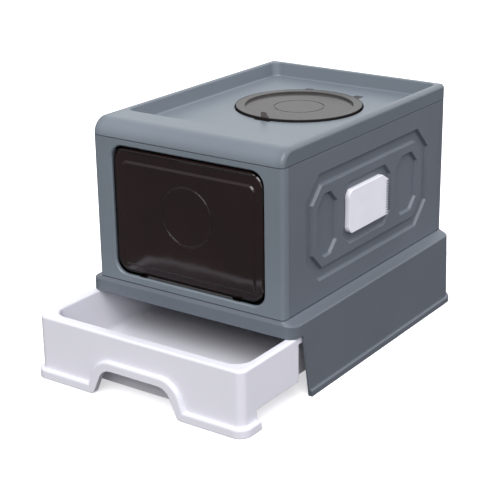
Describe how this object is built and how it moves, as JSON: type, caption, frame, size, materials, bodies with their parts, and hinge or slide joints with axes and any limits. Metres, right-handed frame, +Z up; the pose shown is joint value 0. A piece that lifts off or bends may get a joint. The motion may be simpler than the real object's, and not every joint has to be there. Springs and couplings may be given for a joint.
{
  "type": "covered litter box",
  "caption": "Covered litter box with a pull-out drawer tray, a smoked flap door, a lift-off top with a round hinged lid and a hand comb on its side wall.",
  "frame": {"origin": "floor level, in the middle of the plan with the drawer pulled out as in the picture", "axes": "+Z up, -Y the way the drawer and the door face, +X towards the wall with the comb"},
  "size_m": [0.402, 0.638, 0.386],
  "materials": {
    "shell": "blue-grey, satin",
    "tray": "white, satin",
    "comb": "white, satin",
    "door_smoke": "dark smoke, polished",
    "lid_smoke": "brown smoke, polished",
    "pin": "grey, plain",
    "pad": "black, plain"
  },
  "bodies": {
    "box": {"base_frame": "shell", "front_panel": "shell", "back_panel": "shell", "left_panel": "shell", "right_panel": "shell", "front_hinge_pins": "pin", "back_hinge_pins": "pin", "left_hinge_pins": "pin", "right_hinge_pins": "pin", "door_hinge_pins": "pin", "door_bumpers": "pad"},
    "drawer": {"drawer": "tray"},
    "door": {"front_door": "door_smoke"},
    "cover": {"top_cover": "shell", "lid_hinge_pins": "pin"},
    "lid": {"top_lid": "lid_smoke", "lid_tab": "pad"},
    "comb": {"hand_comb": "comb"}
  },
  "joints": [
    {"name": "drawer_slide", "type": "slide", "parent": "box", "child": "drawer", "axis": [0, -1, 0], "range_m": [-0.126, 0.144]},
    {"name": "door_hinge", "type": "hinge", "parent": "box", "child": "door", "pos_m": [0, -0.178, 0.343], "axis": [1, 0, 0], "range_deg": [-75, 75]},
    {"name": "cover_lift", "type": "slide", "parent": "box", "child": "cover", "axis": [0, 0, 1], "range_m": [0, 0.1]},
    {"name": "lid_hinge", "type": "hinge", "parent": "cover", "child": "lid", "pos_m": [0, 0.236, 0.3591], "axis": [-1, 0, 0], "range_deg": [0, 95]},
    {"name": "comb_pull", "type": "slide", "parent": "box", "child": "comb", "axis": [1, 0, 0], "range_m": [0, 0.03]}
  ]
}
